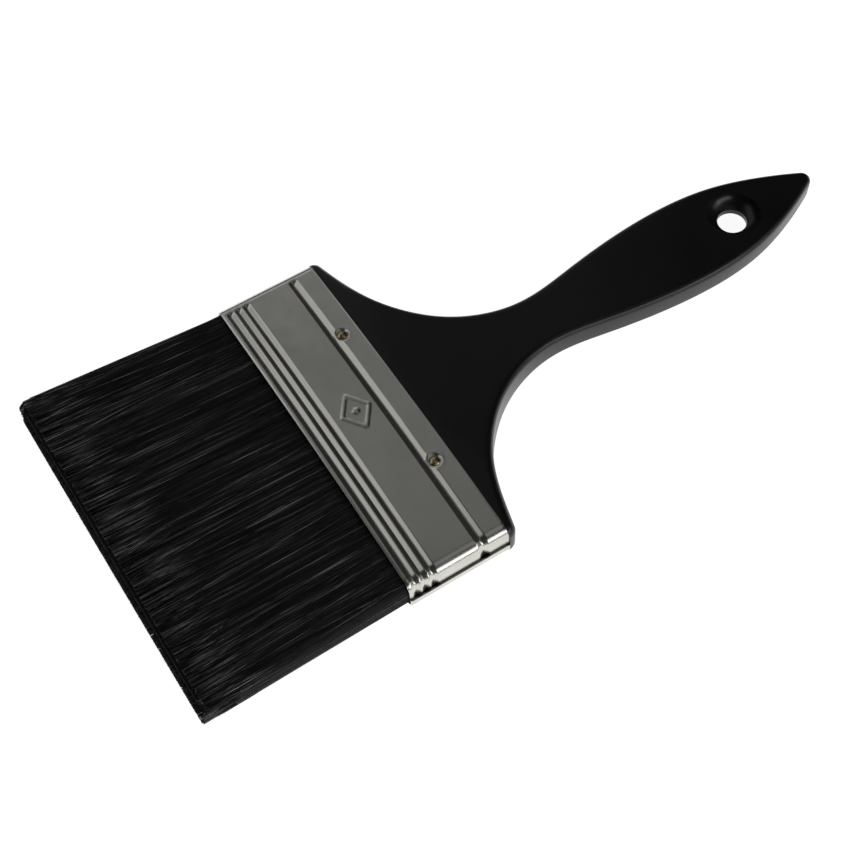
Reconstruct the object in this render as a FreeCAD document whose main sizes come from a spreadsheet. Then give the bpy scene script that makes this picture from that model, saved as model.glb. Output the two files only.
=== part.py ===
import FreeCAD, Part
import math
import os
import Sketcher
from FreeCAD import Placement, Rotation, Vector

# A flat wall brush, 4 in wide, lying on one broad face. Millimetres.
# Row frame: X across the brush, +Y towards the tail of the handle, +Z up, origin under the
# middle of the bounding box on the surface that the brush lies on.
# Local frame of every sub-part: Y = 0 at the ferrule's handle mouth, Z = 0 in the middle of
# the thickness.

DRIVING = {
    # ferrule
    "brush_width": 102.4,
    "ferrule_length": 29.0,
    "ferrule_side": 10.5,
    "ferrule_crown": 1.8,
    "ferrule_corner": 3.4,
    "steel": 0.5,
    "lap_gap": 0.05,
    "groove_first": 2.3,
    "groove_pitch": 2.5,
    "groove_last": 22.0,
    "groove_width": 2.2,
    "groove_last_width": 3.0,
    "groove_depth": 0.42,
    "narrow_grooves": 3,
    # nails
    "nail_across": 47.2,
    "nail_inset": 4.85,
    "nail_head": 3.0,
    "nail_head_rise": 0.6,
    "nail_seat": 1.9,
    "nail_seat_depth": 0.3,
    "nail_shank": 1.5,
    "nail_length": 4.0,
    # handle
    "handle_length": 137.4,
    "shoulder_half": 51.2,
    "shoulder_corner": 2.8,
    "shoulder_rise": 0.1,
    "shoulder_slope": 14.0,
    "tip_round": 2.6,
    "tip_turn": 28.0,
    "tail_thickness": 8.0,
    "taper_end": 52.0,
    "tang_depth": 11.0,
    "tang_clearance": 0.55,
    "tang_corner": 2.6,
    "hang_hole": 8.4,
    "hang_hole_at": 110.0,
    "hang_dish": 15.4,
    "hang_land": 1.5,
    # filling inside the ferrule
    "fill_clearance": 0.77,
    "setting_clearance": 0.08,
    "setting_depth": 6.0,
    "setting_corner": 2.7,
    "plug_thickness": 3.0,
    "plug_margin": 4.0,
    "play": 0.35,
    # filaments
    "bristle_length": 60.0,
    "tip_width": 104.6,
    "tip_thickness": 10.6,
    "tip_slope": 0.9,
    "filament_corner": 2.2,
    "pivot_outside": 4.0,
    "layer_gap": 0.1,
}

DERIVED = {
    "mouth_at": "(bristle_length + ferrule_length - handle_length) / 2",
    "mid_height": "ferrule_side / 2 + ferrule_crown",
    "lap_step": "steel + lap_gap",
    "shoulder_width": "2 * shoulder_half",
    "shoulder_thickness": "ferrule_side + 2 * ferrule_crown",
    "inner_width": "brush_width - 4 * steel - 2 * lap_gap - 2 * groove_depth",
    "inner_side": "ferrule_side - 2 * steel",
    "tang_width": "inner_width - 2 * setting_clearance",
    "tang_side": "inner_side - 2 * tang_clearance",
    "setting_side": "inner_side - 2 * setting_clearance",
    "fill_side": "inner_side - 2 * fill_clearance",
    "filament_width": "tang_width - 2 * play",
    "knuckle": "fill_side / 2 + ferrule_crown",
    "pivot_at": "ferrule_length + pivot_outside",
    "setting_start": "tang_depth + lap_gap",
    "filling_start": "setting_start + setting_depth + lap_gap",
    "plug_end": "pivot_at - knuckle - 2 * play",
}

# Half of the handle's outline behind the shoulder: distance from the ferrule, half width.
OUTLINE = [
    ("sweep_start", 4.9, 40.7),
    ("sweep_bend", 8.2, 31.6),
    ("sweep_middle", 14.0, 22.9),
    ("sweep_end", 22.0, 15.5),
    ("neck_start", 30.0, 11.2),
    ("neck", 42.0, 8.5),
    ("swell_start", 60.0, 10.5),
    ("swell", 88.0, 13.8),
    ("tail_start", 110.0, 12.3),
    ("tail_end", 125.0, 7.5),
]

# Each nail's side of the brush and broad face.
NAILS = {
    "nail_top_left": (-1, 1),
    "nail_top_right": (1, 1),
    "nail_bottom_left": (-1, -1),
    "nail_bottom_right": (1, -1),
}

# How far a cut runs past the material that it removes.
CUT_ROOM = 2.0

doc = FreeCAD.newDocument("flat_brush")
sheet = doc.addObject("Spreadsheet::Sheet", "Sizes")


def fill_sheet():
    """Driving cells hold plain numbers; derived cells hold formulas of them."""
    cells = dict(DRIVING)
    for name, at, half in OUTLINE:
        cells[name + "_at"] = at
        cells[name + "_half"] = half
    row = 1
    for alias, value in cells.items():
        sheet.set(f"A{row}", alias)
        sheet.set(f"B{row}", str(value))
        sheet.setAlias(f"B{row}", alias)
        row += 1
    for alias, formula in DERIVED.items():
        sheet.set(f"A{row}", alias)
        sheet.set(f"B{row}", "=" + formula)
        sheet.setAlias(f"B{row}", alias)
        row += 1
    doc.recompute()


def size(alias):
    return float(getattr(sheet, alias))


def place(sub_part, label):
    """Name a sub-part and bring its local frame to the row frame."""
    sub_part.Label = label
    sub_part.Placement = Placement(Vector(0, size("mouth_at"), size("mid_height")), Rotation())
    sub_part.setExpression("Placement.Base.y", "Sizes.mouth_at")
    sub_part.setExpression("Placement.Base.z", "Sizes.mid_height")


def new_body(name):
    return doc.addObject("PartDesign::Body", "body_" + name)


def new_sketch(body, name, role):
    sketch = body.newObject("Sketcher::SketchObject", name)
    plane = [f for f in body.Origin.OriginFeatures if f.Role == role][0]
    sketch.AttachmentSupport = [(plane, "")]
    sketch.MapMode = "FlatFace"
    return sketch


def bind(sketch, constraint, name, formula):
    """Add a dimension with a name and tie it to the sheet."""
    index = sketch.addConstraint(constraint)
    sketch.renameConstraint(index, name)
    sketch.setExpression(f"Constraints.{name}", formula)


def arc(centre, radius, start, end):
    circle = Part.Circle(Vector(centre[0], centre[1], 0), Vector(0, 0, 1), radius)
    return Part.ArcOfCircle(circle, math.radians(start), math.radians(end))


def segment(start, end):
    return Part.LineSegment(Vector(start[0], start[1], 0), Vector(end[0], end[1], 0))


def crown_radius(width, crown):
    return (width * width / 4 + crown * crown) / (2 * crown)


def crowned_corner(half_width, half_side, crown, corner):
    """Centre of a corner arc and the angle where it meets the crown."""
    big = crown_radius(2 * half_width, crown)
    low = half_side + crown - big
    across = half_width - corner
    up = low + math.sqrt((big - corner) ** 2 - across ** 2)
    return across, up, math.degrees(math.atan2(up - low, across)), big, low


def crowned_sketch(body, name, width, side, corner):
    """Rounded rectangle with crowned long sides, across the brush (X, Z)."""
    half = size(width) / 2
    half_side = size(side) / 2
    round_ = size(corner)
    crown = size("ferrule_crown")
    across, up, turn, big, low = crowned_corner(half, half_side, crown, round_)
    sketch = new_sketch(body, name, "XZ_Plane")
    sketch.addGeometry([
        arc((0, low), big, turn, 180 - turn),
        arc((-across, up), round_, 180 - turn, 180),
        segment((-half, up), (-half, -up)),
        arc((-across, -up), round_, 180, 180 + turn),
        arc((0, -low), big, 180 + turn, 360 - turn),
        arc((across, -up), round_, 360 - turn, 360),
        segment((half, -up), (half, up)),
        arc((across, up), round_, 0, turn),
    ], False)
    for edge in range(8):
        sketch.addConstraint(Sketcher.Constraint("Tangent", edge, 2, (edge + 1) % 8, 1))
    for line in (2, 6):
        sketch.addConstraint(Sketcher.Constraint("Vertical", line))
    for corner_arc in (3, 5, 7):
        sketch.addConstraint(Sketcher.Constraint("Equal", 1, corner_arc))
    sketch.addConstraint(Sketcher.Constraint("Equal", 0, 4))
    for crown_arc in (0, 4):
        sketch.addConstraint(Sketcher.Constraint("PointOnObject", crown_arc, 3, -2))
    big_formula = (f"(Sizes.{width} ^ 2 / 4 + Sizes.ferrule_crown ^ 2) "
                   "/ (2 * Sizes.ferrule_crown)")
    drop = f"{big_formula} - Sizes.{side} / 2 - Sizes.ferrule_crown"
    bind(sketch, Sketcher.Constraint("Radius", 0, big), "crown_radius", big_formula)
    bind(sketch, Sketcher.Constraint("Radius", 1, round_), "corner_radius", f"Sizes.{corner}")
    bind(sketch, Sketcher.Constraint("DistanceY", 0, 3, -1, 1, -low), "top_drop", drop)
    bind(sketch, Sketcher.Constraint("DistanceY", -1, 1, 4, 3, -low), "bottom_drop", drop)
    bind(sketch, Sketcher.Constraint("DistanceX", -1, 1, 6, 1, half), "right_half",
         f"Sizes.{width} / 2")
    bind(sketch, Sketcher.Constraint("DistanceX", 2, 1, -1, 1, half), "left_half",
         f"Sizes.{width} / 2")
    return sketch


def pad(body, sketch, name, length, reverse=False, middle=False):
    feature = body.newObject("PartDesign::Pad", name)
    feature.Profile = sketch
    feature.setExpression("Length", length)
    feature.Reversed = reverse
    feature.Midplane = middle
    body.Tip = feature
    doc.recompute()
    return feature


def pocket_through(body, sketch, name):
    """Cut through everything, both ways from the sketch."""
    feature = body.newObject("PartDesign::Pocket", name)
    feature.Profile = sketch
    before = body.Shape.Volume
    feature.Type = "ThroughAll"
    feature.Midplane = True
    body.Tip = feature
    doc.recompute()
    if not feature.Shape.Volume < before:
        raise RuntimeError(f"{name} cut nothing")
    return feature


def add_frame(sketch, low, high):
    """Outer rectangle of a cut that keeps only what is inside the sketch's other wire."""
    corners = [low, (high[0], low[1]), high, (low[0], high[1])]
    edges = [segment(corners[i], corners[(i + 1) % 4]) for i in range(4)]
    sketch.addGeometry(edges, False)


# --------------------------------------------------------------------------- handle


def handle_outline(sketch):
    """Plan outline: straight across the ferrule, rounded shoulders, spline to the tip."""
    half = size("shoulder_half")
    corner = size("shoulder_corner")
    length = size("handle_length")
    tip = size("tip_round")
    slope = size("shoulder_slope")
    turn = 90 - slope
    rise = size("shoulder_rise")
    centre = (half - corner, rise)
    top = (centre[0] + corner * math.cos(math.radians(turn)),
           centre[1] + corner * math.sin(math.radians(turn)))
    points = [Vector(top[0], top[1], 0)]
    for name, _, _ in OUTLINE:
        points.append(Vector(size(name + "_half"), size(name + "_at"), 0))
    tip_turn = size("tip_turn")
    tip_centre = (0, length - tip)
    meet = Vector(tip * math.cos(math.radians(tip_turn)),
                  tip_centre[1] + tip * math.sin(math.radians(tip_turn)), 0)
    points.append(meet)
    start_way = Vector(-math.cos(math.radians(slope)), math.sin(math.radians(slope)), 0)
    end_way = Vector(-math.sin(math.radians(tip_turn)), math.cos(math.radians(tip_turn)), 0)
    right = Part.BSplineCurve()
    right.interpolate(Points=points, InitialTangent=start_way, FinalTangent=end_way)
    left = right.copy()
    left.mirror(Vector(0, 0, 0), Vector(0, 1, 0))
    sketch.addGeometry([
        segment((-half, 0), (half, 0)),
        segment((half, 0), (half, rise)),
        arc(centre, corner, 0, turn),
        right,
        arc(tip_centre, tip, tip_turn, 180 - tip_turn),
        left,
        arc((-centre[0], centre[1]), corner, 180 - turn, 180),
        segment((-half, rise), (-half, 0)),
    ], False)


def taper_cut(sketch, upper):
    """Side view (Y, Z) of what is cut off one face: an arc down to the tail's thickness."""
    start = size("shoulder_thickness") / 2
    end = size("tail_thickness") / 2
    run = size("taper_end")
    length = size("handle_length")
    radius = (run * run + (start - end) ** 2) / (2 * (start - end))
    sweep = math.degrees(math.asin(run / radius))
    top = start + CUT_ROOM
    past = length + CUT_ROOM
    if upper:
        sketch.addGeometry([
            arc((run, end + radius), radius, 270 - sweep, 270),
            segment((run, end), (past, end)),
            segment((past, end), (past, top)),
            segment((past, top), (0, top)),
            segment((0, top), (0, start)),
        ], False)
    else:
        sketch.addGeometry([
            arc((run, -end - radius), radius, 90, 90 + sweep),
            segment((run, -end), (past, -end)),
            segment((past, -end), (past, -top)),
            segment((past, -top), (0, -top)),
            segment((0, -top), (0, -start)),
        ], False)


def build_handle():
    body = new_body("handle")
    plan = new_sketch(body, "handle_plan", "XY_Plane")
    handle_outline(plan)
    pad(body, plan, "handle_blank", "Sizes.shoulder_thickness", middle=True)
    for upper in (True, False):
        side = new_sketch(body, f"handle_taper_{'top' if upper else 'bottom'}", "YZ_Plane")
        taper_cut(side, upper)
        pocket_through(body, side, side.Name + "_cut")
    crown = crowned_sketch(body, "shoulder_crown", "shoulder_width", "ferrule_side",
                           "ferrule_corner")
    reach = size("shoulder_half") + CUT_ROOM
    add_frame(crown, (-reach, -reach), (reach, reach))
    pocket_through(body, crown, "shoulder_crown_cut")
    tang = crowned_sketch(body, "tang_section", "tang_width", "tang_side", "tang_corner")
    pad(body, tang, "tang", "Sizes.tang_depth")
    cut_hang_hole(body)
    cut_nail_holes(body)
    place(body, "handle")
    return body


def cut_hang_hole(body):
    """Hole through the tail with a bowl-shaped dish on each face, revolved about Z."""
    at = size("hang_hole_at")
    hole = size("hang_hole") / 2
    dish = size("hang_dish") / 2
    land = size("hang_land") / 2
    top = size("tail_thickness") / 2
    clear = top + CUT_ROOM
    depth = top - land
    width = dish - hole
    radius = (width * width + depth * depth) / (2 * depth)
    turn = math.degrees(math.asin(width / radius))
    profile = new_sketch(body, "hang_hole_profile", "XZ_Plane")
    profile.AttachmentOffset = Placement(Vector(0, 0, -at), Rotation())
    profile.addGeometry([
        segment((0, -clear), (dish, -clear)),
        segment((dish, -clear), (dish, -top)),
        arc((hole, -land - radius), radius, 90 - turn, 90),
        segment((hole, -land), (hole, land)),
        arc((hole, land + radius), radius, 270, 270 + turn),
        segment((dish, top), (dish, clear)),
        segment((dish, clear), (0, clear)),
        segment((0, clear), (0, -clear)),
    ], False)
    groove = body.newObject("PartDesign::Groove", "hang_hole")
    groove.Profile = profile
    groove.ReferenceAxis = (profile, ["V_Axis"])
    groove.Angle = 360
    before = body.Shape.Volume
    body.Tip = groove
    doc.recompute()
    if not groove.Shape.Volume < before:
        raise RuntimeError("the hang hole cut nothing")


def cut_nail_holes(body):
    """Four holes for the nail shanks, two through each broad face of the tang."""
    half = size("nail_across") / 2
    sketch = new_sketch(body, "nail_holes", "XY_Plane")
    for index, side in enumerate((-1, 1)):
        circle = Part.Circle(Vector(side * half, -size("nail_inset"), 0), Vector(0, 0, 1),
                             size("nail_shank") / 2)
        sketch.addGeometry(circle, False)
        bind(sketch, Sketcher.Constraint("Diameter", index, size("nail_shank")),
             f"shank_{index}", "Sizes.nail_shank")
    pocket_through(body, sketch, "nail_holes_cut")


# -------------------------------------------------------------------------- ferrule


def section_wire(grooved):
    """Lengthwise section of the sheet in (Y, Z): outer face at Z = 0, arcs where grooved."""
    start = -size("ferrule_length")
    steel = size("steel")
    depth = size("groove_depth")
    dips = []
    if grooved:
        for number in range(int(size("narrow_grooves"))):
            middle = start + size("groove_first") + number * size("groove_pitch")
            dips.append((middle, size("groove_width") / 2))
        dips.append((start + size("groove_last"), size("groove_last_width") / 2))
    edges = []
    for level in (0, -steel):
        at = start
        for middle, half in dips:
            edges.append(Part.LineSegment(Vector(0, at, level), Vector(0, middle - half, level)))
            edges.append(Part.Arc(Vector(0, middle - half, level),
                                  Vector(0, middle, level - depth),
                                  Vector(0, middle + half, level)))
            at = middle + half
        edges.append(Part.LineSegment(Vector(0, at, level), Vector(0, 0, level)))
    for at in (start, 0):
        edges.append(Part.LineSegment(Vector(0, at, 0), Vector(0, at, -steel)))
    return Part.Wire(Part.__sortEdges__([edge.toShape() for edge in edges]))


def arc_edge(centre, radius, start, end):
    """Arc across the brush (X, Z) from one angle to another, either way round."""
    points = []
    for angle in (start, (start + end) / 2, end):
        turn = math.radians(angle)
        points.append(Vector(centre[0] + radius * math.cos(turn), 0,
                             centre[1] + radius * math.sin(turn)))
    return Part.Arc(*points).toShape()


def line_edge(start, end):
    return Part.LineSegment(Vector(start[0], 0, start[1]), Vector(end[0], 0, end[1])).toShape()


def sweep_sheet(edges, grooved):
    """Sweep the sheet's section along a stretch of its outer face, in the (X, Z) plane."""
    path = Part.Wire(edges)
    first = edges[0]
    start = first.valueAt(first.FirstParameter)
    way = first.tangentAt(first.FirstParameter)
    section = section_wire(grooved)
    along = Vector(0, 1, 0)
    outward = along.cross(way)
    section.Placement = Placement(start, Rotation(way * -1, along, outward, "ZYX"))
    return path.makePipeShell([section], True, False)


def build_ferrule():
    """One strip, wrapped from under the lap up, over the top, round and up over its start."""
    half = size("brush_width") / 2
    side = size("ferrule_side") / 2
    crown = size("ferrule_crown")
    corner = size("ferrule_corner")
    inner = half - size("lap_step")
    across, up, turn, big, low = crowned_corner(half, side, crown, corner)
    inner_across = inner - corner
    inner_up = low + math.sqrt((big - corner) ** 2 - inner_across ** 2)
    inner_turn = math.degrees(math.atan2(inner_up - low, inner_across))
    start = -up + size("steel")
    top = [
        line_edge((inner, start), (inner, inner_up)),
        arc_edge((inner_across, inner_up), corner, 0, inner_turn),
        arc_edge((0, low), big, inner_turn, 180 - turn),
    ]
    far = [
        arc_edge((-across, up), corner, 180 - turn, 180),
        line_edge((-half, up), (-half, -up)),
        arc_edge((-across, -up), corner, 180, 180 + turn),
    ]
    bottom = [arc_edge((0, -low), big, 180 + turn, 360 - turn)]
    lap = [
        arc_edge((across, -up), corner, 360 - turn, 360),
        line_edge((half, -up), (half, -size("steel"))),
    ]
    strip = sweep_sheet(top, True)
    for edges, grooved in ((far, False), (bottom, True), (lap, False)):
        strip = strip.fuse(sweep_sheet(edges, grooved))
    for across_side, face in NAILS.values():
        strip = strip.cut(nail_seat(across_side, face))
    feature = doc.addObject("Part::Feature", "ferrule")
    feature.Shape = strip.removeSplitter()
    place(feature, "ferrule")
    return feature


def nail_level():
    """Height of the ferrule's outer face at the nails, above the middle of the brush."""
    width = size("brush_width")
    crown = size("ferrule_crown")
    big = crown_radius(width, crown)
    low = size("ferrule_side") / 2 + crown - big
    return low + math.sqrt(big ** 2 - size("nail_across") ** 2 / 4)


def nail_seat(across_side, face):
    """Shallow round seat for a nail's head with the hole for its shank."""
    at = Vector(across_side * size("nail_across") / 2, -size("nail_inset"), 0)
    seat_at = at + Vector(0, 0, face * (nail_level() - size("nail_seat_depth")))
    way = Vector(0, 0, face)
    seat = Part.makeCylinder(size("nail_seat"), CUT_ROOM, seat_at, way)
    shank = Part.makeCylinder(size("nail_shank") / 2, 2 * CUT_ROOM, seat_at - way * CUT_ROOM, way)
    return seat.fuse(shank)


def build_nail(name, across_side, face):
    """Domed head on a straight shank, turned about its own axis."""
    head = size("nail_head") / 2
    rise = size("nail_head_rise")
    shank = size("nail_shank") / 2
    length = size("nail_length")
    dome = (head * head + rise * rise) / (2 * rise)
    turn = math.degrees(math.asin(head / dome))
    body = new_body(name)
    profile = new_sketch(body, name + "_profile", "XZ_Plane")
    profile.addGeometry([
        segment((0, -length), (shank, shank - length)),
        segment((shank, shank - length), (shank, 0)),
        segment((shank, 0), (head, 0)),
        arc((0, rise - dome), dome, 90 - turn, 90),
        segment((0, rise), (0, -length)),
    ], False)
    turned = body.newObject("PartDesign::Revolution", name + "_turned")
    turned.Profile = profile
    turned.ReferenceAxis = (profile, ["V_Axis"])
    turned.Angle = 360
    body.Tip = turned
    doc.recompute()
    body.Label = name
    over = Rotation() if face > 0 else Rotation(Vector(1, 0, 0), 180)
    seat = nail_level() - size("nail_seat_depth")
    body.Placement = Placement(
        Vector(across_side * size("nail_across") / 2, size("mouth_at") - size("nail_inset"),
               size("mid_height") + face * seat), over)
    body.setExpression("Placement.Base.x", f"{across_side} * Sizes.nail_across / 2")
    body.setExpression("Placement.Base.y", "Sizes.mouth_at - Sizes.nail_inset")
    return body


# ---------------------------------------------------- filling of the ferrule, filaments


def build_setting():
    body = new_body("epoxy_setting")
    section = crowned_sketch(body, "setting_section", "tang_width", "setting_side",
                             "setting_corner")
    section.AttachmentOffset = Placement(Vector(0, 0, size("setting_start")), Rotation())
    section.setExpression("AttachmentOffset.Base.z", "Sizes.setting_start")
    pad(body, section, "setting_slab", "Sizes.setting_depth")
    place(body, "epoxy_setting")
    return body


def build_plug():
    body = new_body("spacer_plug")
    half = size("inner_width") / 2 - size("plug_margin")
    thick = size("plug_thickness") / 2
    profile = new_sketch(body, "plug_section", "XZ_Plane")
    corners = [(-half, -thick), (half, -thick), (half, thick), (-half, thick)]
    profile.addGeometry([segment(corners[i], corners[(i + 1) % 4]) for i in range(4)], False)
    profile.AttachmentOffset = Placement(Vector(0, 0, size("filling_start")), Rotation())
    profile.setExpression("AttachmentOffset.Base.z", "Sizes.filling_start")
    pad(body, profile, "plug_strip", "Sizes.plug_end - Sizes.filling_start")
    place(body, "spacer_plug")
    return body


def build_roots(name, face):
    """One layer's rooted ends, beside the plug, hollowed round the free part's knuckle."""
    body = new_body(name)
    section = crowned_sketch(body, name + "_section", "filament_width", "fill_side",
                             "filament_corner")
    section.AttachmentOffset = Placement(Vector(0, 0, size("filling_start")), Rotation())
    section.setExpression("AttachmentOffset.Base.z", "Sizes.filling_start")
    pad(body, section, name + "_block", "Sizes.ferrule_length - Sizes.filling_start")
    low = size("plug_thickness") / 2 + size("lap_gap")
    socket = size("knuckle") + size("play")
    pivot = -size("pivot_at")
    top = size("knuckle") + CUT_ROOM
    back = -size("filling_start") + CUT_ROOM
    mouth = -size("ferrule_length") + size("lap_gap")
    inner = math.degrees(math.asin(low / socket))
    outer = math.degrees(math.acos((mouth - pivot) / socket))
    meet_in = pivot + socket * math.cos(math.radians(inner))
    meet_out = socket * math.sin(math.radians(outer))
    cut = new_sketch(body, name + "_side", "YZ_Plane")
    knuckle_arc = arc((pivot, 0), socket, inner, outer)
    if face < 0:
        knuckle_arc = arc((pivot, 0), socket, -outer, -inner)
    cut.addGeometry([
        segment((back, face * low), (meet_in, face * low)),
        knuckle_arc,
        segment((mouth, face * meet_out), (mouth, face * top)),
        segment((mouth, face * top), (back, face * top)),
        segment((back, face * top), (back, face * low)),
    ], False)
    far = top + CUT_ROOM
    add_frame(cut, (pivot - CUT_ROOM, -far), (back + CUT_ROOM, far))
    pocket_through(body, cut, name + "_trim")
    place(body, name)
    return body


def build_filaments(name, face):
    """One layer's free length: a knuckle about the flexing line, tapering to a blunt tip."""
    body = new_body(name)
    knuckle = size("knuckle")
    pivot = -size("pivot_at")
    start = size("pivot_at") - knuckle
    section = crowned_sketch(body, name + "_section", "filament_width", "fill_side",
                             "filament_corner")
    section.AttachmentOffset = Placement(Vector(0, 0, start), Rotation())
    section.setExpression("AttachmentOffset.Base.z", "Sizes.pivot_at - Sizes.knuckle")
    pad(body, section, name + "_block", "Sizes.ferrule_length - Sizes.pivot_at + Sizes.knuckle")
    mouth = crowned_sketch(body, name + "_mouth", "filament_width", "fill_side",
                           "filament_corner")
    mouth.AttachmentOffset = Placement(Vector(0, 0, size("ferrule_length")), Rotation())
    mouth.setExpression("AttachmentOffset.Base.z", "Sizes.ferrule_length")
    end = crowned_sketch(body, name + "_end", "tip_width", "fill_side", "filament_corner")
    end.AttachmentOffset = Placement(
        Vector(0, 0, size("ferrule_length") + size("bristle_length")), Rotation())
    end.setExpression("AttachmentOffset.Base.z", "Sizes.ferrule_length + Sizes.bristle_length")
    flare = body.newObject("PartDesign::AdditiveLoft", name + "_flare")
    flare.Profile = mouth
    flare.Sections = [end]
    flare.Ruled = True
    body.Tip = flare
    doc.recompute()
    low = size("layer_gap") / 2
    tip = -size("ferrule_length") - size("bristle_length")
    tip_half = size("tip_thickness") / 2
    shoulder = tip + size("tip_slope")
    inner = math.degrees(math.asin(low / knuckle))
    meet = pivot + knuckle * math.cos(math.radians(inner))
    cut = new_sketch(body, name + "_side", "YZ_Plane")
    knuckle_arc = arc((pivot, 0), knuckle, inner, 90)
    if face < 0:
        knuckle_arc = arc((pivot, 0), knuckle, 270, 360 - inner)
    cut.addGeometry([
        knuckle_arc,
        segment((pivot, face * knuckle), (shoulder, face * tip_half)),
        segment((shoulder, face * tip_half), (tip, face * low)),
        segment((tip, face * low), (meet, face * low)),
    ], False)
    far = knuckle + CUT_ROOM
    add_frame(cut, (tip - CUT_ROOM, -far), (meet + CUT_ROOM, far))
    pocket_through(body, cut, name + "_trim")
    place(body, name)
    return body


def check_document():
    for item in doc.Objects:
        bad = [state for state in item.State if state in ("Invalid", "Error")]
        if bad:
            raise RuntimeError(f"{item.Name} is {bad}")


def write_steps(sub_parts):
    for part in sub_parts:
        if part.Shape.isNull() or not part.Shape.isValid():
            raise RuntimeError(f"{part.Label} has no valid shape")
    os.makedirs("parts", exist_ok=True)
    for part in sub_parts:
        part.Shape.exportStep(os.path.join("parts", part.Label + ".step"))
        print(part.Label, round(part.Shape.Volume, 1), "mm3,", len(part.Shape.Solids), "solid")


fill_sheet()
SUB_PARTS = [build_handle(), build_ferrule()]
for nail_name, (nail_side, nail_face) in NAILS.items():
    SUB_PARTS.append(build_nail(nail_name, nail_side, nail_face))
SUB_PARTS.append(build_setting())
SUB_PARTS.append(build_plug())
for layer_face, layer in ((1, "top"), (-1, "bottom")):
    SUB_PARTS.append(build_roots("filament_roots_" + layer, layer_face))
    SUB_PARTS.append(build_filaments("filaments_" + layer, layer_face))
doc.recompute()
check_document()
write_steps(SUB_PARTS)
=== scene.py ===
import math
import random

import bmesh
import bpy
from mathutils import Matrix, Vector


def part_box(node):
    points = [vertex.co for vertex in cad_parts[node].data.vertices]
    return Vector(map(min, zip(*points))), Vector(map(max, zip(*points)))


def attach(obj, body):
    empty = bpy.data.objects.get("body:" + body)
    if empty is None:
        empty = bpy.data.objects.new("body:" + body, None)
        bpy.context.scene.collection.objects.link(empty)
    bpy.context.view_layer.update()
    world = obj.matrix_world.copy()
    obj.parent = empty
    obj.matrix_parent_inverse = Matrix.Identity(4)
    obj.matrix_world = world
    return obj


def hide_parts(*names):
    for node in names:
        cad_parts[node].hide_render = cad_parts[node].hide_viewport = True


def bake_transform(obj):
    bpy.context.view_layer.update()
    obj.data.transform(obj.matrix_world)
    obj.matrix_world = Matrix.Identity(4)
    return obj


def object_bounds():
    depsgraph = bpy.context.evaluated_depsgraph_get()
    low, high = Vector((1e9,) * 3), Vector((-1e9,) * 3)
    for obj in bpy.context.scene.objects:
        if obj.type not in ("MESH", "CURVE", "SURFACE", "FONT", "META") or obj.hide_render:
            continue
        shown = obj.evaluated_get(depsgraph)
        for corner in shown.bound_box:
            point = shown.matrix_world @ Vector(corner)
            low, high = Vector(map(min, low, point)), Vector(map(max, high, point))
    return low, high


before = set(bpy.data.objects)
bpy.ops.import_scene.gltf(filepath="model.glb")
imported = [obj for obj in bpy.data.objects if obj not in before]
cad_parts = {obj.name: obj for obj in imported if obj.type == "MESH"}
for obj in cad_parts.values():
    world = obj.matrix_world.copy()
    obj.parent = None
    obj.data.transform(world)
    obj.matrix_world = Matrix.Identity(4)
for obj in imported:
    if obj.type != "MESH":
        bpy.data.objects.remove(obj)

MM = 0.001
CAD_LOW, CAD_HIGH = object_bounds()

# Sizes in millimetres, in the brush's own frame: Y from the ferrule's handle mouth,
# Z from the middle of the thickness. The ferrule node gives both places.
FERRULE_LOW, FERRULE_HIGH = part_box("ferrule")
HANDLE_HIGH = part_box("handle")[1]
BRISTLE_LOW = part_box("filaments_top")[0]
MOUTH = FERRULE_HIGH.y / MM
MIDDLE = (FERRULE_LOW.z + FERRULE_HIGH.z) / 2 / MM
WIDTH = (FERRULE_HIGH.x - FERRULE_LOW.x) / MM
FERRULE_LENGTH = (FERRULE_HIGH.y - FERRULE_LOW.y) / MM
THICKNESS = (FERRULE_HIGH.z - FERRULE_LOW.z) / MM
HANDLE_LENGTH = HANDLE_HIGH.y / MM - MOUTH
BRISTLE_END = BRISTLE_LOW.y / MM - MOUTH

# Section of the ferrule: rise of its broad faces, height of its narrow sides, thickness of
# the sheet, depth of the lap under the outer layer and radius of the corners.
CROWN = 1.8
SIDE = THICKNESS - 2 * CROWN
STEEL = 0.42
LAP_STEP = 0.55
CORNER = 3.4

random.seed(4)


# ------------------------------------------------------------------------ materials


def node_material(name):
    """New material, with its node tree and its shader."""
    material = bpy.data.materials.new(name)
    material.use_nodes = True
    tree = material.node_tree
    shader = tree.nodes["Principled BSDF"]
    return material, tree, shader


def place_texture(tree, scale=(1, 1, 1)):
    """Object coordinates in metres, stretched by a scale for each axis."""
    where = tree.nodes.new("ShaderNodeTexCoord")
    stretch = tree.nodes.new("ShaderNodeMapping")
    stretch.inputs["Scale"].default_value = scale
    tree.links.new(where.outputs["Object"], stretch.inputs["Vector"])
    return stretch.outputs["Vector"]


def noise(tree, vector, scale, detail=3.0, roughness=0.5):
    node = tree.nodes.new("ShaderNodeTexNoise")
    node.inputs["Scale"].default_value = scale
    node.inputs["Detail"].default_value = detail
    node.inputs["Roughness"].default_value = roughness
    tree.links.new(vector, node.inputs["Vector"])
    return node.outputs["Fac"]


def spread(tree, value, low, high, from_low=0.3, from_high=0.7):
    node = tree.nodes.new("ShaderNodeMapRange")
    node.inputs["From Min"].default_value = from_low
    node.inputs["From Max"].default_value = from_high
    node.inputs["To Min"].default_value = low
    node.inputs["To Max"].default_value = high
    tree.links.new(value, node.inputs["Value"])
    return node.outputs["Result"]


def mix_colours(tree, value, first, second):
    node = tree.nodes.new("ShaderNodeMix")
    node.data_type = "RGBA"
    node.inputs["A"].default_value = (*first, 1)
    node.inputs["B"].default_value = (*second, 1)
    tree.links.new(value, node.inputs["Factor"])
    return node.outputs["Result"]


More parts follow.
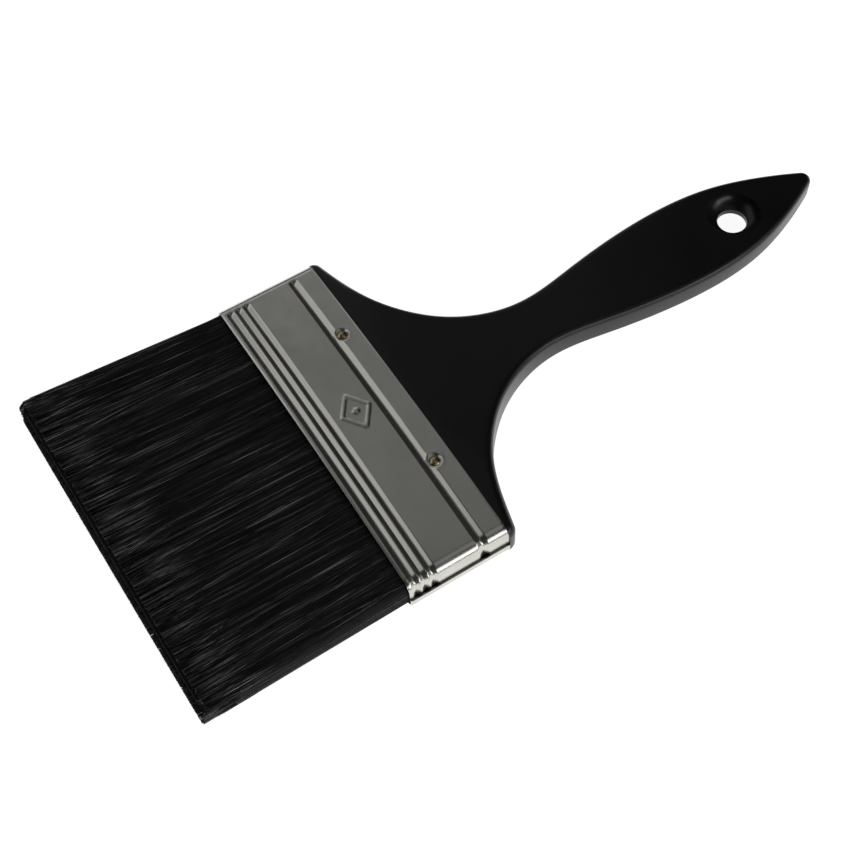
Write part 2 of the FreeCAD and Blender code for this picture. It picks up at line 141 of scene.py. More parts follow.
def bump(tree, shader, height, strength, distance):
    node = tree.nodes.new("ShaderNodeBump")
    node.inputs["Strength"].default_value = strength
    node.inputs["Distance"].default_value = distance
    tree.links.new(height, node.inputs["Height"])
    tree.links.new(node.outputs["Normal"], shader.inputs["Normal"])


def moulded_plastic():
    """Black polypropylene: satin skin with a fine mould texture and faint handling marks."""
    material, tree, shader = node_material("handle_plastic")
    where = place_texture(tree)
    broad = noise(tree, where, 60, 4)
    fine = noise(tree, where, 2600, 2)
    tint = mix_colours(tree, spread(tree, broad, 0, 1), (0.0040, 0.0040, 0.0045), (0.0060, 0.0060, 0.0066))
    tree.links.new(tint, shader.inputs["Base Color"])
    tree.links.new(spread(tree, broad, 0.27, 0.34), shader.inputs["Roughness"])
    bump(tree, shader, fine, 0.25, 0.00003)
    shader.inputs["Specular IOR Level"].default_value = 0.36
    return material


def plated_steel():
    """Thin nickel-plated sheet: warm grey, softly brushed across, slightly clouded."""
    material, tree, shader = node_material("plated_steel")
    where = place_texture(tree)
    rolled = place_texture(tree, (1, 0.04, 1))
    cloud = noise(tree, where, 90, 5, 0.6)
    grain = noise(tree, rolled, 5200, 2)
    tint = mix_colours(tree, spread(tree, cloud, 0, 1), (0.50, 0.495, 0.46), (0.58, 0.575, 0.535))
    tree.links.new(tint, shader.inputs["Base Color"])
    shader.inputs["Metallic"].default_value = 1.0
    tree.links.new(spread(tree, cloud, 0.19, 0.27), shader.inputs["Roughness"])
    bump(tree, shader, grain, 0.12, 0.00002)
    return material


def brass():
    material, tree, shader = node_material("brass")
    where = place_texture(tree)
    cloud = noise(tree, where, 900, 4)
    tint = mix_colours(tree, spread(tree, cloud, 0, 1), (0.34, 0.26, 0.15), (0.52, 0.43, 0.27))
    tree.links.new(tint, shader.inputs["Base Color"])
    shader.inputs["Metallic"].default_value = 1.0
    tree.links.new(spread(tree, cloud, 0.18, 0.34), shader.inputs["Roughness"])
    return material


def filament():
    """Black synthetic filament; the tone that changes from one to the next is a painted highlight."""
    material, tree, shader = node_material("filament")
    # Tone of each filament: how much painted highlight goes into its base colour.
    tone = tree.nodes.new("ShaderNodeAttribute")
    tone.attribute_name = "tone"
    # Noise patches that make the painted highlight brighter in some places and fainter in others.
    painted_sheen_patches = noise(tree, place_texture(tree, (1, 0.12, 1)), 420, 3, 0.6)
    painted_sheen_amount = tree.nodes.new("ShaderNodeMath")
    painted_sheen_amount.operation = "MULTIPLY"
    tree.links.new(tone.outputs["Fac"], painted_sheen_amount.inputs[0])
    tree.links.new(spread(tree, painted_sheen_patches, 0.55, 1.0), painted_sheen_amount.inputs[1])
    # Painted highlight: the tone mixes the black base colour towards light grey.
    tint = mix_colours(tree, painted_sheen_amount.outputs["Value"], (0.0022, 0.0022, 0.0028), (0.75, 0.76, 0.80))
    tree.links.new(tint, shader.inputs["Base Color"])
    tree.links.new(spread(tree, tone.outputs["Fac"], 0.55, 0.3, 0, 1), shader.inputs["Roughness"])
    shader.inputs["Specular IOR Level"].default_value = 0.2
    return material


def packed_filament():
    """Shaded inside of the bundle."""
    material, tree, shader = node_material("filament_packed")
    grain = noise(tree, place_texture(tree, (1, 0.012, 1)), 2200, 3, 0.6)
    tint = mix_colours(tree, spread(tree, grain, 0, 1), (0.0015, 0.0015, 0.002), (0.006, 0.006, 0.007))
    tree.links.new(tint, shader.inputs["Base Color"])
    shader.inputs["Roughness"].default_value = 0.7
    shader.inputs["Specular IOR Level"].default_value = 0.15
    return material


def plain_board():
    material, tree, shader = node_material("plug_board")
    grain = noise(tree, place_texture(tree, (0.1, 1, 1)), 900, 4)
    tint = mix_colours(tree, spread(tree, grain, 0, 1), (0.30, 0.21, 0.12), (0.45, 0.34, 0.21))
    tree.links.new(tint, shader.inputs["Base Color"])
    tree.links.new(spread(tree, grain, 0.7, 0.9), shader.inputs["Roughness"])
    return material


def resin():
    material, tree, shader = node_material("epoxy")
    cloud = noise(tree, place_texture(tree), 200, 4)
    tint = mix_colours(tree, spread(tree, cloud, 0, 1), (0.16, 0.10, 0.04), (0.26, 0.17, 0.07))
    tree.links.new(tint, shader.inputs["Base Color"])
    tree.links.new(spread(tree, cloud, 0.2, 0.35), shader.inputs["Roughness"])
    return material


# ----------------------------------------------------------------------------- mesh


def make_piece(name, points, faces, material):
    """Smooth-shaded mesh object from points in the brush's frame, in millimetres."""
    mesh = bpy.data.meshes.new(name)
    shifted = [(x * MM, (y + MOUTH) * MM, (z + MIDDLE) * MM) for x, y, z in points]
    mesh.from_pydata(shifted, [], faces)
    mesh.materials.append(material)
    mesh.validate()
    piece = bpy.data.objects.new(name, mesh)
    bpy.context.collection.objects.link(piece)
    mesh.polygons.foreach_set("use_smooth", [True] * len(mesh.polygons))
    return piece


def smoothstep(value):
    value = min(max(value, 0.0), 1.0)
    return value * value * (3 - 2 * value)


# --------------------------------------------------------------------------- handle

# Distance behind the ferrule and half width, as in the CAD outline.
HANDLE_OUTLINE = [
    (4.9, 40.7), (8.2, 31.6), (14.0, 22.9), (22.0, 15.5), (30.0, 11.2),
    (42.0, 8.5), (60.0, 10.5), (88.0, 13.8), (110.0, 12.3), (125.0, 7.5),
]
SHOULDER_HALF = 51.2
SHOULDER_CORNER = 2.8
SHOULDER_RISE = 0.1
SHOULDER_SLOPE = 14.0
TIP_ROUND = 2.6
TIP_TURN = 28.0
TAIL_THICKNESS = 8.0
TAPER_END = 52.0
SHOULDER_ROUND = 2.6
HANDLE_ROUND = 1.75
ROUND_START = 5.0
ROUND_RUN = 25.0
SPLINE_SWEEPS = 60
SPLINE_STEPS = 170


def spline_through(points, start_way, end_way, steps):
    """Natural chord-length cubic through points, with given directions at its ends."""
    count = len(points)
    knots = [0.0]
    for i in range(1, count):
        knots.append(knots[-1] + (points[i] - points[i - 1]).length)
    spans = [knots[i + 1] - knots[i] for i in range(count - 1)]
    slopes = [start_way] + [Vector((0, 0))] * (count - 2) + [end_way]
    for _ in range(SPLINE_SWEEPS):
        for i in range(1, count - 1):
            before, after = spans[i - 1], spans[i]
            pull = 3 * ((points[i] - points[i - 1]) / before ** 2
                        + (points[i + 1] - points[i]) / after ** 2)
            slopes[i] = (pull - slopes[i - 1] / before - slopes[i + 1] / after) / (
                2 / before + 2 / after)
    out = []
    for i in range(count - 1):
        span = spans[i]
        number = max(4, int(steps * span / knots[-1]))
        for k in range(number):
            t = k / number
            a = 2 * t ** 3 - 3 * t ** 2 + 1
            b = t ** 3 - 2 * t ** 2 + t
            c = -2 * t ** 3 + 3 * t ** 2
            d = t ** 3 - t ** 2
            out.append(points[i] * a + slopes[i] * (b * span) + points[i + 1] * c
                       + slopes[i + 1] * (d * span))
    out.append(points[-1])
    return out


def arc_points(centre, radius, start, end, count):
    out = []
    for k in range(count + 1):
        turn = math.radians(start + (end - start) * k / count)
        out.append(Vector((centre[0] + radius * math.cos(turn), centre[1] + radius * math.sin(turn))))
    return out


def handle_outline():
    """Right half of the outline, from the middle of the ferrule's mouth to the tip."""
    turn = 90 - SHOULDER_SLOPE
    side = [Vector((SHOULDER_HALF, SHOULDER_RISE * k / 4)) for k in range(4)]
    centre = (SHOULDER_HALF - SHOULDER_CORNER, SHOULDER_RISE)
    corner = side + arc_points(centre, SHOULDER_CORNER, 0, turn, 12)
    tip_centre = (0, HANDLE_LENGTH - TIP_ROUND)
    tip = arc_points(tip_centre, TIP_ROUND, TIP_TURN, 90, 10)
    points = [corner[-1]] + [Vector((half, at)) for at, half in HANDLE_OUTLINE] + [tip[0]]
    slope, lean = math.radians(SHOULDER_SLOPE), math.radians(TIP_TURN)
    start_way = Vector((-math.cos(slope), math.sin(slope)))
    end_way = Vector((-math.sin(lean), math.cos(lean)))
    tip[-1].x = 0
    return corner[:-1] + spline_through(points, start_way, end_way, SPLINE_STEPS) + tip[1:]


def face_height(x, at):
    """Height of the broad face: the ferrule's crown at the shoulder, an arc down to the tail."""
    start, end = THICKNESS / 2, TAIL_THICKNESS / 2
    radius = (TAPER_END ** 2 + (start - end) ** 2) / (2 * (start - end))
    left = max(TAPER_END - max(at, 0), 0)
    taper = end + radius - math.sqrt(radius ** 2 - left ** 2)
    crown = SIDE / 2 + CROWN * (1 - (x / SHOULDER_HALF) ** 2)
    soft = 0.35
    share = min(max(0.5 + 0.5 * (crown - taper) / soft, 0), 1)
    return taper * share + crown * (1 - share) - soft * share * (1 - share)


def edge_round(along):
    """Radius of the edge: nearly the ferrule's at the shoulder, smaller along the handle."""
    return SHOULDER_ROUND + (HANDLE_ROUND - SHOULDER_ROUND) * smoothstep(
        (along - ROUND_START) / ROUND_RUN)


def edge_rings():
    """Share of the radius that each ring is inset and lowered, from the side to the face."""
    steps = 9
    turns = [math.pi / 2 * k / steps for k in range(steps + 1)]
    return [(1 - math.cos(turn), 1 - math.sin(turn)) for turn in turns]


def build_handle(material):
    """Both broad faces with their rounded edges, the side walls between them and the front."""
    half = handle_outline()
    normals = []
    for i, point in enumerate(half):
        before = half[i - 1] if i else Vector((point.x, point.y - 1))
        after = half[i + 1] if i + 1 < len(half) else Vector((-before.x, before.y))
        way = (after - before).normalized()
        normals.append(Vector((way.y, -way.x)))
    rows = len(half)
    columns = 24
    points, faces = [], []
    run = [0.0]
    for a, b in zip(half, half[1:]):
        run.append(run[-1] + (b - a).length)

    def add_side(sign):
        """One broad face with half of the edge; returns its point numbers, row by row."""
        numbers = []
        for i in range(rows):
            radius = edge_round(run[i])
            edge = []
            for inset, drop in edge_rings():
                p = half[i] - normals[i] * inset * radius
                edge.append((p.x, p.y, sign * (face_height(p.x, p.y) - drop * radius)))
            inner = half[i] - normals[i] * radius
            row = list(edge)
            for k in range(1, columns):
                x = inner.x * (1 - 2 * k / columns)
                row.append((x, inner.y, sign * face_height(x, inner.y)))
            row += [(-x, y, z) for x, y, z in reversed(edge)]
            first = len(points)
            points.extend(row)
            numbers.append(range(first, first + len(row)))
        return numbers

    upper, lower = add_side(1), add_side(-1)
    for numbers, flip in ((upper, False), (lower, True)):
        for a, b in zip(numbers, numbers[1:]):
            for k in range(len(a) - 1):
                face = (a[k], a[k + 1], b[k + 1], b[k])
                faces.append(face if not flip else face[::-1])
    for end in (0, -1):
        for i in range(rows - 1):
            faces.append((upper[i][end], upper[i + 1][end], lower[i + 1][end], lower[i][end]))
    for k in range(len(upper[0]) - 1):
        faces.append((upper[0][k], upper[0][k + 1], lower[0][k + 1], lower[0][k]))
    return make_piece("handle_shell", points, faces, material)


def tidy_normals(piece, sharp):
    """Merge doubled points, turn every face outwards and mark the sharp edges."""
    work = bmesh.new()
    work.from_mesh(piece.data)
    bmesh.ops.remove_doubles(work, verts=work.verts, dist=0.00001)
    bmesh.ops.recalc_face_normals(work, faces=work.faces)
    work.to_mesh(piece.data)
    work.free()
    piece.data.polygons.foreach_set("use_smooth", [True] * len(piece.data.polygons))
    piece.data.set_sharp_from_angle(angle=math.radians(sharp))


# Hang hole: its place behind the ferrule, radius, radius of the dish and half of the land.
HOLE_AT = 110.0
HOLE = 4.2
DISH = 7.7
LAND = 0.75
RIM = 0.5
RIM_DROP = 0.12


def hole_cutter():
    """Closed solid that the hang hole removes: a waist between two bowls with soft rims."""
    top = TAIL_THICKNESS / 2
    profile = [(HOLE, 0.0), (HOLE, LAND)]
    steps = 12
    for k in range(1, steps + 1):
        t = k / steps
        quarter = t * math.pi / 2
        out = HOLE + (DISH - HOLE) * (0.35 * t + 0.65 * math.sin(quarter))
        profile.append((out, LAND + (top - LAND) * (1 - 0.5 * (1 - t) - 0.5 * math.cos(quarter))))
    profile.append((DISH + RIM, top + RIM_DROP))
    profile.append((DISH + RIM, top + 2))
    whole = [(r, -z) for r, z in reversed(profile[1:])] + profile
    around = 96
    points, faces = [], []
    for r, z in whole:
        for k in range(around):
            turn = 2 * math.pi * k / around
            points.append((r * math.cos(turn), HOLE_AT + r * math.sin(turn), z))
    for ring in range(len(whole) - 1):
        for k in range(around):
            a, b = ring * around + k, ring * around + (k + 1) % around
            faces.append((a, b, b + around, a + around))
    faces.append(tuple(range(around))[::-1])
    last = (len(whole) - 1) * around
    faces.append(tuple(range(last, last + around)))
    mesh = bpy.data.meshes.new("hole_cutter")
    shifted = [(x * MM, (y + MOUTH) * MM, (z + MIDDLE) * MM) for x, y, z in points]
    mesh.from_pydata(shifted, [], faces)
    return bpy.data.objects.new("hole_cutter", mesh)


def apply_modifier(piece, modifier):
    """Bake one modifier into the piece's mesh."""
    graph = bpy.context.evaluated_depsgraph_get()
    baked = bpy.data.meshes.new_from_object(piece.evaluated_get(graph))
    piece.modifiers.remove(modifier)
    piece.data = baked


def drill_handle(piece):
    cutter = hole_cutter()
    bpy.context.collection.objects.link(cutter)
    modifier = piece.modifiers.new("hole", "BOOLEAN")
    modifier.operation = "DIFFERENCE"
    modifier.object = cutter
    modifier.solver = "EXACT"
    bpy.context.view_layer.update()
    apply_modifier(piece, modifier)
    bpy.data.objects.remove(cutter)


# -------------------------------------------------------------------------- ferrule

# Distances from the bristle mouth; a groove also has half of its width and its depth.
NARROW_GROOVES = [2.3 + 2.5 * k for k in range(3)]
NARROW_HALF = 1.25
NARROW_DEPTH = 0.60
LAST_GROOVE = 22.0
LAST_HALF = 1.5
LAST_DEPTH = 0.68
NAIL_ACROSS = 23.6
NAIL_INSET = 4.85
DIMPLE_DEPTH = 0.42
DIMPLE_RADIUS = 1.35
DIMPLE_WALL = 0.75
COLLAR_RADIUS = 2.35
LOZENGE_AT = 14.8
LOZENGE_ACROSS = 6.4
LOZENGE_ALONG = 4.6
LOZENGE_HEIGHT = 0.28
# Where the lap's inner layer starts above its corner, and where the outer layer ends.
LAP_START = 0.4
LAP_EDGE = -0.6
# The grooves fade over one part in this many of the strip's upper and lower runs.
UPPER_FADE = 85
LOWER_FADE = 45
# The sheet turns in a little at the bristle mouth and out at the handle mouth.
MOUTH_CURL = 0.14
HANDLE_FLARE = 0.09


def crown_circle():
    radius = (WIDTH ** 2 / 4 + CROWN ** 2) / (2 * CROWN)
    return radius, SIDE / 2 + CROWN - radius


def corner_place(half):
    """Centre of a corner arc at a given half width, and the angle where the crown begins."""
    big, low = crown_circle()
    across = half - CORNER
    up = low + math.sqrt((big - CORNER) ** 2 - across ** 2)
    return across, up, math.atan2(up - low, across)


def strip_path():
    """Stations along the strip: place, outward normal and how deep the grooves are."""
    stations = []

    def arc_run(centre, radius, start, end, count, depth):
        for k in range(count):
            t = k / count
            turn = start + (end - start) * t
            way = (math.cos(turn), math.sin(turn))
            place = (centre[0] + radius * way[0], centre[1] + radius * way[1])
            stations.append((place, way, depth(t)))

    def line_run(start, end, way, count, depth):
        for k in range(count):
            t = k / count
            place = (start[0] + (end[0] - start[0]) * t, start[1] + (end[1] - start[1]) * t)
            stations.append((place, way, depth(t)))

    big, low = crown_circle()
    half = WIDTH / 2
    inner = half - LAP_STEP
    in_across, in_up, in_turn = corner_place(inner)
    across, up, turn = corner_place(half)

    def full(t):
        return 1.0

    def none(t):
        return 0.0

    def fade_out(t):
        return smoothstep((1 - t) * UPPER_FADE)

    def fade_both(t):
        return smoothstep(t * LOWER_FADE) * smoothstep((1 - t) * LOWER_FADE)

    line_run((inner, -up + LAP_START), (inner, in_up), (1, 0), 14, full)
    arc_run((in_across, in_up), CORNER, 0, in_turn, 14, full)
    arc_run((0, low), big, in_turn, math.pi - turn, 190, fade_out)
    arc_run((-across, up), CORNER, math.pi - turn, math.pi, 14, none)
    line_run((-half, up), (-half, -up), (-1, 0), 10, none)
    arc_run((-across, -up), CORNER, math.pi, math.pi + turn, 14, none)
    arc_run((0, -low), big, math.pi + turn, 2 * math.pi - turn, 180, fade_both)
    arc_run((across, -up), CORNER, 2 * math.pi - turn, 2 * math.pi, 14, none)
    line_run((half, -up), (half, LAP_EDGE), (1, 0), 8, none)
    stations.append(((half, LAP_EDGE), (1, 0), 0.0))
    return stations


def valley(distance, half, depth):
    """V-shaped groove with straight walls, a rounded bottom and rounded lips."""
    share = abs(distance) / half
    lips = 1.15
    if share >= lips:
        return 0.0
    wall = 1 - share
    soft = 0.16
    lip = 0.5 * (wall + math.sqrt(wall * wall + soft * soft * 0.3))
    bottom = 1 - 0.5 * (share + math.sqrt(share * share + soft * soft)) + soft / 2
    fade = min(max((lips - share) / 0.3, 0), 1)
    return depth * min(lip, bottom) * smoothstep(fade)


def groove_depth(along):
    """Depth of the pressed grooves at a distance from the bristle mouth."""
    depth = max(valley(along - at, NARROW_HALF, NARROW_DEPTH) for at in NARROW_GROOVES)
    return depth + valley(along - LAST_GROOVE, LAST_HALF, LAST_DEPTH)


def nail_dimple(x, along):
    """Rounded pit round a nail with a faint raised collar."""
    depth = 0.0
    for side in (-1, 1):
        far = math.hypot(x - side * NAIL_ACROSS, along - (FERRULE_LENGTH - NAIL_INSET))
        depth += DIMPLE_DEPTH * (1 - smoothstep((far - DIMPLE_RADIUS) / DIMPLE_WALL))
        depth -= 0.07 * math.exp(-((far - COLLAR_RADIUS) / 0.4) ** 2)
    return depth


def lozenge(x, along):
    """Plain raised lozenge outline with a dot, pressed into the middle of the panel."""
    share = abs(x) / LOZENGE_ACROSS + abs(along - LOZENGE_AT) / LOZENGE_ALONG
    rim = math.exp(-((share - 0.88) / 0.10) ** 4)
    dot = math.exp(-((math.hypot(x, along - LOZENGE_AT)) / 1.0) ** 4)
    return LOZENGE_HEIGHT * (rim + dot)


def unevenness(x, along):
    """Slight waves that pressing leaves in the thin sheet."""
    wave = math.sin(0.11 * x + 0.9) * math.sin(0.21 * along + 0.4)
    return 0.035 * wave + 0.02 * math.sin(0.29 * x - 0.17 * along)


def sheet_levels():
    """Distances from the bristle mouth, closer together where the sheet is shaped."""
    levels = [0.2 * k for k in range(44)]
    levels += [8.8 + 0.44 * k for k in range(25)]
    levels += [19.8 + 0.23 * k for k in range(40)]
    return levels + [FERRULE_LENGTH]


def build_ferrule(material):
    """The sheet as two skins along the strip, joined at the mouths and at the strip's ends."""
    stations = strip_path()
    levels = sheet_levels()
    across = len(levels) - 1
    points, faces = [], []
    for skin in (0.0, STEEL):
        for (px, pz), (nx, nz), share in stations:
            for along in levels:
                sunk = groove_depth(along) * share
                if abs(nz) > 0.9:
                    dimple = nail_dimple(px, along)
                    near = min(max(dimple, 0) / DIMPLE_DEPTH, 1)
                    sunk = sunk * (1 - near) + dimple + unevenness(px, along) * share
                    if nz > 0:
                        sunk -= lozenge(px, along)
                sunk += MOUTH_CURL * math.exp(-(along / 0.35) ** 2)
                sunk -= HANDLE_FLARE * math.exp(-((along - FERRULE_LENGTH) / 0.3) ** 2)
                deep = sunk + skin
                points.append((px - nx * deep, along - FERRULE_LENGTH, pz - nz * deep))
    row = across + 1
    total = len(stations) * row
    last = len(stations) - 1
    for i in range(last):
        for k in range(across):
            a = i * row + k
            faces.append((a, a + row, a + row + 1, a + 1))
            b = a + total
            faces.append((b, b + 1, b + row + 1, b + row))
    for i in range(last):
        for k in (0, across):
            a = i * row + k
            face = (a, a + total, a + total + row, a + row)
            faces.append(face if k == 0 else face[::-1])
    for i in (0, last):
        for k in range(across):
            a = i * row + k
            face = (a, a + 1, a + 1 + total, a + total)
            faces.append(face if i == 0 else face[::-1])
    return make_piece("ferrule_sheet", points, faces, material)


# ------------------------------------------------------------------------- filaments

# Where the roots start, the free length, how far the bundle widens and leans towards its end,
# and how much further it reaches on one side than on the other.
ROOT = -22.0
FREE = -FERRULE_LENGTH - BRISTLE_END
FLARE = 2.7
LEAN = -1.9
SIDE_SHIFT = -0.2
TIP_SKEW = 0.9
TIP_BEVEL = 2.2
CORNER_BEVEL = 2.0
CORNER_SPAN = 3
STRANDS = 3200
PAINTED_GLINTS = 340
ENDS = 2600
CORE_INSET = 1.3
CORE_DEPTH = 0.28
CORE_SIDE = 0.4


def reach(y):
    """0 at the ferrule's bristle mouth and inside it, 1 at the filaments' ends."""
    return max(-FERRULE_LENGTH - y, 0) / FREE


def bundle_width(y):
    """Half of the bundle's width at a place along it."""
    return WIDTH / 2 - LAP_STEP - STEEL - 0.2 + FLARE * reach(y)


def bundle_half(y, x):
    """Half of the bundle's thickness at a place along and across it."""
    half = bundle_width(y)
    base = 4.3 + 1.35 * (1 - (x / half) ** 2) - 0.35 * reach(y)
    corner = max(abs(x) - (half - 2.2), 0) / 2.2
    return base * math.sqrt(max(1 - corner ** 2 * 0.6, 0.05))


def tip_end(x, share):
    """Where the filaments end, across the bundle and from its lower face (-1) to its upper (1).

    The ends of the upper face lie further back than the core's, which follow the middle.
    """
    corner = max(abs(x) - WIDTH / 2 + CORNER_SPAN, 0) / CORNER_SPAN
    bevel = TIP_BEVEL * max(share, 0) ** 2 + CORNER_BEVEL * corner ** 2
    return BRISTLE_END + 0.15 + TIP_SKEW * (1 + 2 * x / WIDTH) + bevel


def shift(y):
    """How far the bundle's middle lies to one side."""
    return SIDE_SHIFT + LEAN * reach(y)


class Strands:
    """Three-sided tapering filaments gathered in one mesh, each with its own tone of painted highlight."""

    def __init__(self):
        self.points = []
        self.faces = []
        self.painted_sheen_tones = []

    def add(self, route, width, tone):
        first = len(self.points)
        count = len(route)
        phase = random.random() * 2.1
        for i, (x, y, z) in enumerate(route):
            share = i / (count - 1)
            radius = width / 2 * (1 - 0.4 * share ** 3)
            for k in range(3):
                turn = phase + k * 2 * math.pi / 3
                self.points.append((x + radius * math.cos(turn), y, z + radius * math.sin(turn)))
                self.painted_sheen_tones.append(tone(share))
        for i in range(count - 1):
            for k in range(3):
                a, b = first + i * 3 + k, first + i * 3 + (k + 1) % 3
                self.faces.append((a, a + 3, b + 3, b))
        end = first + (count - 1) * 3
        self.faces.append((first, first + 1, first + 2))
        self.faces.append((end + 2, end + 1, end))

    def piece(self, name, material):
        made = make_piece(name, self.points, self.faces, material)
        # The tone attribute sets how much painted highlight the filament material puts into the base
        # colour.
        tone = made.data.attributes.new("tone", "FLOAT", "POINT")
        tone.data.foreach_set("value", self.painted_sheen_tones)
        return made


def painted_streak_tone():
    """Painted highlight along one filament: most get none and stay black, and it is brighter at the ends.
    """
    tone = 0.34 * random.random() ** 8
    return lambda share: tone * (1 + 3 * smoothstep((share - 0.84) / 0.14))


def end_shade(share):
    """Falls from 1 to 0 over the last stretch, so that a filament's painted glint fades before its end."""
    return 1 - smoothstep((share - 0.93) / 0.07)


def painted_glint_tone():
    """Painted glint along a filament: a lighter stretch of base colour over part of its length."""
    near_tip = random.random() < 0.6
    middle = random.uniform(0.9, 1.0) if near_tip else random.uniform(0.3, 0.9)
    length = random.uniform(0.03, 0.08) if near_tip else random.uniform(0.04, 0.16)
    peak = random.uniform(0.4, 1.3) if near_tip else random.uniform(0.1, 0.8)

    def tone(share):
        painted_glint_level = 0.02 + peak * math.exp(-((share - middle) / length) ** 2)
        return painted_glint_level * end_shade(share)

    return tone


def filament_route(x, share, steps, stray):
    """Route of one filament from inside the ferrule to the tip; share is its depth."""
    drift = random.gauss(0, 0.3) + random.gauss(0, 1.3) * stray
    bow = random.gauss(0, 0.2) + random.gauss(0, 0.6) * stray
    lift = abs(random.gauss(0, 0.15)) * stray
    end = tip_end(x, share) + abs(random.gauss(0, 0.12))
    if stray > 1:
        end += random.random() * 9
    route = []
    for i in range(steps + 1):
        t = i / steps
        y = ROOT + (end - ROOT) * t
        half = bundle_width(y)
        out = reach(y)
        across = x * half / bundle_width(0) + drift * out * out + bow * math.sin(math.pi * out)
        across = max(-half, min(half, across))
        z = share * bundle_half(y, across) + math.copysign(lift * out * 0.8, share)
        route.append((across + shift(y), y, z))
    return route


def build_filaments(name, face, material, count, nodes):
    """Outer filaments of one face and its two narrow sides."""
    strands = Strands()
    half = bundle_width(0)
    for _ in range(count):
        x = random.uniform(-half, half)
        deep = 1 - abs(random.gauss(0, 0.03))
        width = random.uniform(0.12, 0.22)
        strands.add(filament_route(x, face * deep, 6, 0.4), width, painted_streak_tone())
    # Extra outer filaments that carry a painted glint in their base colour.
    for _ in range(PAINTED_GLINTS):
        x = random.uniform(-half, half)
        route = filament_route(x, face * 1.01, 14, random.choice((0.6, 1.2, 1.8)))
        strands.add(route, random.uniform(0.12, 0.18), painted_glint_tone())
    for _ in range(count // 6):
        side = random.choice((-1, 1))
        share = face * random.uniform(0, 0.98)
        x = side * (half - abs(random.gauss(0, 0.15)))
        strands.add(filament_route(x, share, 6, 0.1), random.uniform(0.15, 0.24), painted_streak_tone())
    piece = strands.piece(name, material)
    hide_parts(*nodes)
    return piece


def build_tips(name, face, material, count):
    """Short visible ends of the filaments inside the bundle."""
    strands = Strands()
    for _ in range(count):
        share = face * random.uniform(0, 0.99)
        half = bundle_width(BRISTLE_END) - 0.1
        x = random.uniform(-half, half)
        end = tip_end(x, share) + abs(random.gauss(0, 0.2))
        route = []
        for k in range(3):
            y = end + 5 - 2.5 * k
            route.append((x + shift(y), y, share * bundle_half(y, x)))
        strands.add(route, random.uniform(0.22, 0.34), lambda share: 0.0)
    return strands.piece(name, material)


def build_core(name, face, material):
    """Dark solid of packed filaments under the outer ones."""
    rows, columns = 26, 60
    points, faces = [], []
    for level in (0, 1):
        for i in range(rows + 1):
            half = bundle_width(ROOT + (BRISTLE_END - ROOT) * i / rows) - CORE_SIDE
            for k in range(columns + 1):
                x = -half + 2 * half * k / columns
                y = ROOT + (tip_end(x, 0) + CORE_INSET - ROOT) * i / rows
                top = face * max(bundle_half(y, x) - CORE_DEPTH, 0.2)
                points.append((x + shift(y), y, top if level else face * 0.02))
    row = columns + 1
    total = (rows + 1) * row
    for i in range(rows):
        for k in range(columns):
            a = i * row + k
            faces.append((a, a + 1, a + 1 + row, a + row))
            b = a + total
            faces.append((b, b + row, b + row + 1, b + 1))
    for i in range(rows):
        for k in (0, columns):
            a = i * row + k
            faces.append((a, a + row, a + row + total, a + total))
    for k in range(columns):
        for i in (0, rows):
            a = i * row + k
            faces.append((a, a + 1, a + 1 + total, a + total))
    piece = make_piece(name, points, faces, material)
    tidy_normals(piece, 60)
    return piece


# ---------------------------------------------------------------- floor, light, camera


def build_floor():
    """White paper under the brush, bright enough to read as a plain background."""
    material, tree, shader = node_material("floor_paper")
    tone = noise(tree, place_texture(tree), 3, 2)
    tint = mix_colours(tree, spread(tree, tone, 0, 1), (0.93, 0.93, 0.93), (0.95, 0.95, 0.95))
    tree.links.new(tint, shader.inputs["Base Color"])
    shader.inputs["Roughness"].default_value = 0.9
    shader.inputs["Emission Color"].default_value = (1, 1, 1, 1)
    shader.inputs["Emission Strength"].default_value = 0.9
    mesh = bpy.data.meshes.new("floor")
    size = 4.0
    low = CAD_LOW.z - 0.0004
    corners = [(-size, -size, low), (size, -size, low), (size, size, low), (-size, size, low)]
    mesh.from_pydata(corners, [], [(0, 1, 2, 3)])
    mesh.materials.append(material)
    floor = bpy.data.objects.new("floor", mesh)
    bpy.context.collection.objects.link(floor)


def soft_light(name, way, distance, width, height, power):
    """Rectangular soft box in a direction from the brush, aimed at it."""
    light = bpy.data.lights.new(name, "AREA")
    light.shape = "RECTANGLE"
    light.size = width
    light.size_y = height
    light.energy = power
    lamp = bpy.data.objects.new(name, light)
    direction = Vector(way).normalized()
    lamp.location = direction * distance
    lamp.rotation_euler = direction.to_track_quat("Z", "Y").to_euler()
    bpy.context.collection.objects.link(lamp)


def build_lights():
    """A faint white world and six soft boxes round the brush."""
    world = bpy.data.worlds.new("studio")
    world.use_nodes = True
    world.node_tree.nodes["Background"].inputs["Color"].default_value = (1, 1, 1, 1)
    world.node_tree.nodes["Background"].inputs["Strength"].default_value = 0.03
    bpy.context.scene.world = world
    soft_light("overhead_card", (-0.56, 0.15, 0.81), 1.2, 0.75, 1.0, 0.45)
    soft_light("front_box", (-0.50, -0.50, 0.71), 1.1, 1.0, 0.5, 1.0)
    soft_light("left_card", (-0.86, 0.14, 0.49), 1.1, 1.0, 0.28, 0.48)
    soft_light("right_box", (0.93, 0.20, 0.40), 0.9, 0.9, 0.35, 2.6)
    soft_light("near_card", (0.25, 0.27, 0.93), 1.1, 0.55, 0.7, 0.30)
    soft_light("rim_box", (0.63, 0.62, 0.45), 0.9, 0.45, 0.3, 0.6)


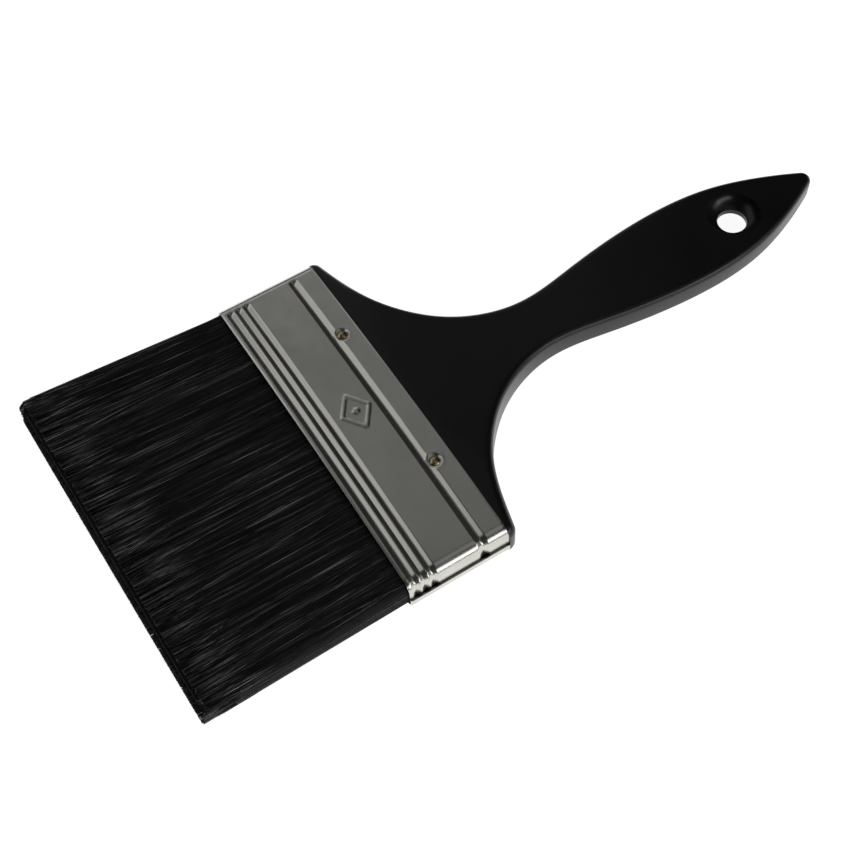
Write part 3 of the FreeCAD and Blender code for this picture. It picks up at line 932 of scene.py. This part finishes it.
# Viewing direction and lens of the reference view.
AZIMUTH = 61.85
ELEVATION = 57.97
ROLL = -4.41
DISTANCE = 0.3977
LENS = 61.53
AIM = (0.00465, 0.00391 + MOUTH * MM, -0.0105 + MIDDLE * MM)


def build_camera():
    """Camera at a distance from its aim, looking along the reference view's direction."""
    turn, rise, roll = (math.radians(v) for v in (AZIMUTH, ELEVATION, ROLL))
    back = Vector((math.sin(turn) * math.cos(rise), -math.cos(turn) * math.cos(rise), math.sin(rise)))
    level = Vector((math.cos(turn), math.sin(turn), 0))
    up = back.cross(level)
    right = level * math.cos(roll) + up * math.sin(roll)
    top = back.cross(right)
    lens = bpy.data.cameras.new("camera")
    lens.lens = LENS
    lens.sensor_width = 36
    lens.clip_start = 0.01
    camera = bpy.data.objects.new("camera", lens)
    place = Matrix((right, top, back)).transposed().to_4x4()
    place.translation = Vector(AIM) + back * DISTANCE
    camera.matrix_world = place
    bpy.context.collection.objects.link(camera)
    bpy.context.scene.camera = camera


# ------------------------------------------------------------------------- the brush

plastic = moulded_plastic()
steel = plated_steel()
nail_metal = brass()
loose = filament()
packed = packed_filament()

handle = build_handle(plastic)
tidy_normals(handle, 40)
drill_handle(handle)
tidy_normals(handle, 40)
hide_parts("handle")
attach(handle, "brush")

ferrule = build_ferrule(steel)
tidy_normals(ferrule, 50)
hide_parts("ferrule")
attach(ferrule, "brush")

for layer, face in (("top", 1), ("bottom", -1)):
    hairs = build_filaments("filament_coat_" + layer, face, loose, STRANDS,
                            ("filaments_" + layer, "filament_roots_" + layer))
    tips = build_tips("filament_ends_" + layer, face, loose, ENDS)
    core = build_core("filament_pack_" + layer, face, packed)
    for piece in (hairs, tips, core):
        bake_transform(piece)

CAD_FINISH = {"epoxy_setting": resin(), "spacer_plug": plain_board()}
for node in ("nail_top_left", "nail_top_right", "nail_bottom_left", "nail_bottom_right"):
    CAD_FINISH[node] = nail_metal
for node, material in CAD_FINISH.items():
    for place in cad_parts[node].material_slots:
        place.material = material

build_floor()
build_lights()
build_camera()
bpy.context.scene.view_settings.view_transform = "Standard"
